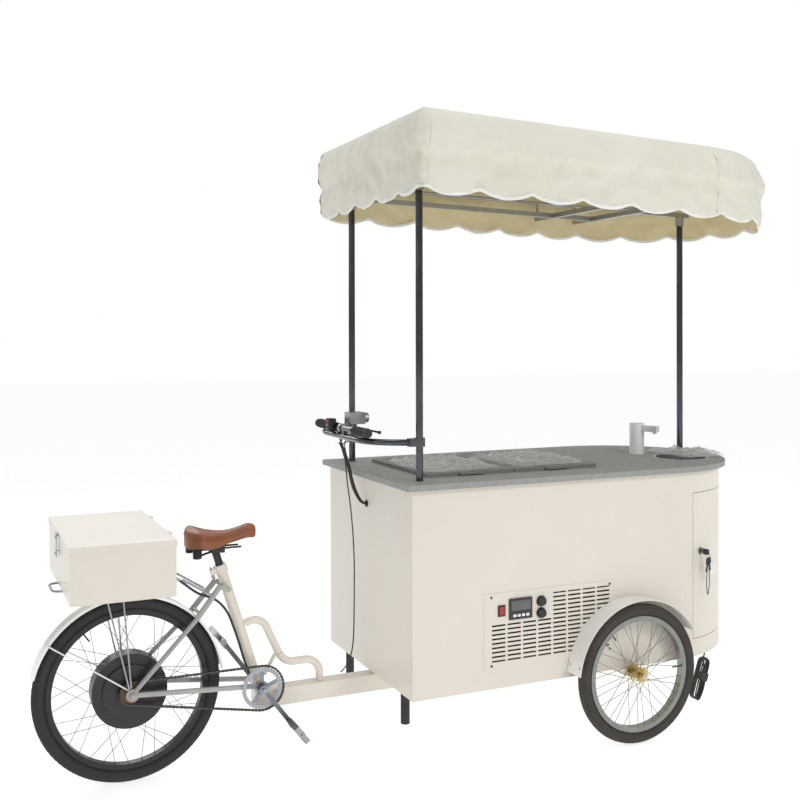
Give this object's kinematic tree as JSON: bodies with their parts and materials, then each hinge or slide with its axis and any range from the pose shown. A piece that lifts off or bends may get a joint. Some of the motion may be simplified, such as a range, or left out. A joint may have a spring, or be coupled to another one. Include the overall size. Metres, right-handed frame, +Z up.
{
  "type": "vending tricycle",
  "caption": "Front-load pedal vending tricycle: freezer and sink cabinet under a canopy, steered by handlebar against a rear frame with hub motor, saddle and box.",
  "frame": {"origin": "middle of the footprint, on the ground, without the mains cord", "axes": "+X forward towards the round front and the door, +Y to the left side, +Z up"},
  "size_m": [2.8826, 1, 2.2438],
  "materials": {
    "cream_paint": "satin cream powder coat",
    "warm_grey_paint": "satin grey powder coat",
    "lid_grey": "smooth moulded plastic, slightly glossy",
    "counter_stone": "matte speckled dark grey laminate",
    "stainless": "brushed stainless steel",
    "chrome_tube": "bright polished chrome",
    "cast_silver": "satin aluminium",
    "black_metal": "black enamel, semi gloss",
    "black_plastic": "black moulded plastic, fine texture",
    "white_gloss": "white moulded plastic, glossy",
    "tank_plastic": "milky polyethylene",
    "white_metal": "white enamel",
    "canvas": "cream woven acrylic canvas with white binding",
    "rubber_black": "soft black rubber",
    "tyre_brown": "dark brown-grey tyre rubber, ribbed",
    "tyre_black": "black tyre rubber, ribbed",
    "red_gloss": "red translucent plastic",
    "orange_gloss": "orange plastic",
    "green_gloss": "green plastic",
    "chain_steel": "oiled dark steel",
    "sprocket_brown": "browned steel",
    "crank_blue": "blue-grey anodised aluminium",
    "film_clear": "clear crumpled wrapping film",
    "leather_brown": "brown grained leather with stitching"
  },
  "bodies": {
    "cart": {"cabinet_skin": "cream_paint", "underframe": "cream_paint", "countertop": "counter_stone", "freezer_tub": "stainless", "cooling_unit": "black_metal", "water_tanks": "tank_plastic", "sink_bowl": "stainless", "water_dispenser": "white_gloss", "grille_panel": "cream_paint", "panel_fittings": "black_plastic", "posts": "chrome_tube", "canopy_frame": "cast_silver", "canopy_cover": "canvas", "handlebar": "chrome_tube", "left_grip": "rubber_black", "headlamp": "cast_silver", "control_cables": "black_plastic", "front_fenders": "white_metal", "cord_gland": "rubber_black", "cord_lead": "black_plastic", "cord_hank": "black_plastic", "mains_plug": "black_plastic"},
    "lid_rear": {"lid_rear": "lid_grey"},
    "lid_front": {"lid_front": "lid_grey"},
    "door": {"cabinet_door": "cream_paint", "door_lock": "chrome_tube"},
    "key": {"door_key": "black_plastic"},
    "rocker": {"rocker_switch": "red_gloss"},
    "brake_lever_left": {"brake_lever_left": "black_metal"},
    "brake_lever_right": {"brake_lever_right": "black_metal"},
    "throttle": {"throttle_grip": "rubber_black"},
    "button_red": {"button_red": "red_gloss"},
    "button_orange": {"button_orange": "orange_gloss"},
    "button_green": {"button_green": "green_gloss"},
    "stand_leg_left": {"stand_leg_left": "rubber_black"},
    "stand_leg_right": {"stand_leg_right": "rubber_black"},
    "front_wheel_left": {"front_tyre_left": "tyre_brown", "front_wheel_left": "cast_silver"},
    "front_wheel_right": {"front_tyre_right": "tyre_brown", "front_wheel_right": "cast_silver"},
    "rear_frame": {"main_frame": "cream_paint", "rear_stays": "warm_grey_paint", "rear_fender": "white_metal", "rear_rack": "cast_silver", "box_body": "cream_paint", "battery_pack": "black_plastic", "chain": "chain_steel", "frame_cable": "black_plastic"},
    "rear_wheel": {"rear_tyre": "tyre_black", "rear_rim": "black_metal", "hub_motor": "black_metal"},
    "freewheel": {"freewheel": "sprocket_brown"},
    "crank": {"crankset": "crank_blue"},
    "pedal_left": {"pedal_left": "cast_silver"},
    "pedal_right": {"pedal_right": "cast_silver"},
    "seat": {"seat_post": "black_metal", "saddle": "leather_brown"},
    "seat_lever": {"seat_lever": "cast_silver"},
    "box_lid": {"box_lid": "cream_paint"},
    "box_hasp": {"box_hasp": "cast_silver"}
  },
  "joints": [
    {"name": "steer", "type": "hinge", "parent": "cart", "child": "rear_frame", "pos_m": [0.0876, 0, 0.245], "axis": [0, 0, 1], "range_deg": [-30, 30]},
    {"name": "lid_rear_hinge", "type": "hinge", "parent": "cart", "child": "lid_rear", "pos_m": [0.0376, 0.26, 0.998], "axis": [-1, 0, 0], "range_deg": [0, 85]},
    {"name": "lid_front_hinge", "type": "hinge", "parent": "cart", "child": "lid_front", "pos_m": [0.3976, 0.26, 0.998], "axis": [-1, 0, 0], "range_deg": [0, 85]},
    {"name": "door_hinge", "type": "hinge", "parent": "cart", "child": "door", "pos_m": [1.2686, 0, 0.6], "axis": [0, 0, 1], "range_deg": [0, 110]},
    {"name": "key_turn", "type": "hinge", "parent": "door", "child": "key", "pos_m": [0.96575, -0.37951, 0.66], "axis": [0.2504, -0.9681, 0], "range_deg": [0, 90]},
    {"name": "rocker_tilt", "type": "hinge", "parent": "cart", "child": "rocker", "pos_m": [0.0796, -0.3936, 0.53], "axis": [1, 0, 0], "range_deg": [-7, 7]},
    {"name": "brake_left", "type": "hinge", "parent": "cart", "child": "brake_lever_left", "pos_m": [-0.3124, 0.112, 1.154], "axis": [0, 0, 1], "range_deg": [0, 14], "stiffness_Nm_per_rad": 1.5},
    {"name": "brake_right", "type": "hinge", "parent": "cart", "child": "brake_lever_right", "pos_m": [-0.3124, -0.112, 1.154], "axis": [0, 0, -1], "range_deg": [0, 14], "stiffness_Nm_per_rad": 1.5},
    {"name": "throttle_turn", "type": "hinge", "parent": "cart", "child": "throttle", "pos_m": [-0.3624, 0, 1.154], "axis": [0, -1, 0], "range_deg": [0, 60], "stiffness_Nm_per_rad": 0.3},
    {"name": "press_red", "type": "slide", "parent": "cart", "child": "button_red", "axis": [1, 0, 0], "range_m": [0, 0.002], "stiffness_N_per_m": 400},
    {"name": "press_orange", "type": "slide", "parent": "cart", "child": "button_orange", "axis": [1, 0, 0], "range_m": [0, 0.002], "stiffness_N_per_m": 400},
    {"name": "press_green", "type": "slide", "parent": "cart", "child": "button_green", "axis": [1, 0, 0], "range_m": [0, 0.002], "stiffness_N_per_m": 400},
    {"name": "stand_left", "type": "slide", "parent": "cart", "child": "stand_leg_left", "axis": [0, 0, -1], "range_m": [0, 0.138]},
    {"name": "stand_right", "type": "slide", "parent": "cart", "child": "stand_leg_right", "axis": [0, 0, -1], "range_m": [0, 0.138]},
    {"name": "front_left_spin", "type": "hinge", "parent": "cart", "child": "front_wheel_left", "pos_m": [0.6216, 0.443, 0.254], "axis": [0, 1, 0], "continuous": true},
    {"name": "front_right_spin", "type": "hinge", "parent": "cart", "child": "front_wheel_right", "pos_m": [0.6216, -0.443, 0.254], "axis": [0, 1, 0], "continuous": true},
    {"name": "rear_spin", "type": "hinge", "parent": "rear_frame", "child": "rear_wheel", "pos_m": [-1.1314, 0, 0.31], "axis": [0, 1, 0], "continuous": true},
    {"name": "crank_turn", "type": "hinge", "parent": "rear_frame", "child": "crank", "pos_m": [-0.6844, 0, 0.266], "axis": [0, 1, 0], "continuous": true},
    {"name": "freewheel_turn", "type": "hinge", "parent": "rear_frame", "child": "freewheel", "pos_m": [-1.1314, -0.06, 0.31], "axis": [0, 1, 0], "continuous": true},
    {"name": "pedal_right_spin", "type": "hinge", "parent": "crank", "child": "pedal_right", "pos_m": [-0.58209, -0.146, 0.13023], "axis": [0, 1, 0], "continuous": true},
    {"name": "pedal_left_spin", "type": "hinge", "parent": "crank", "child": "pedal_left", "pos_m": [-0.78671, 0.146, 0.40177], "axis": [0, 1, 0], "continuous": true},
    {"name": "seat_height", "type": "slide", "parent": "rear_frame", "child": "seat", "axis": [-0.299, 0, 0.9542], "range_m": [-0.035, 0.06]},
    {"name": "seat_lever_turn", "type": "hinge", "parent": "rear_frame", "child": "seat_lever", "pos_m": [-0.83999, 0, 0.65214], "axis": [-0.299, 0, 0.9542], "range_deg": [0, 150]},
    {"name": "box_lid_hinge", "type": "hinge", "parent": "rear_frame", "child": "box_lid", "pos_m": [-1.0244, 0, 0.851], "axis": [0, 1, 0], "range_deg": [0, 100]},
    {"name": "hasp_hinge", "type": "hinge", "parent": "box_lid", "child": "box_hasp", "pos_m": [-1.3597, 0, 0.845], "axis": [0, 1, 0], "range_deg": [0, 150]}
  ],
  "couplings": [
    {"joint": "freewheel_turn", "follows": "crank_turn", "ratio": 2.1111}
  ]
}
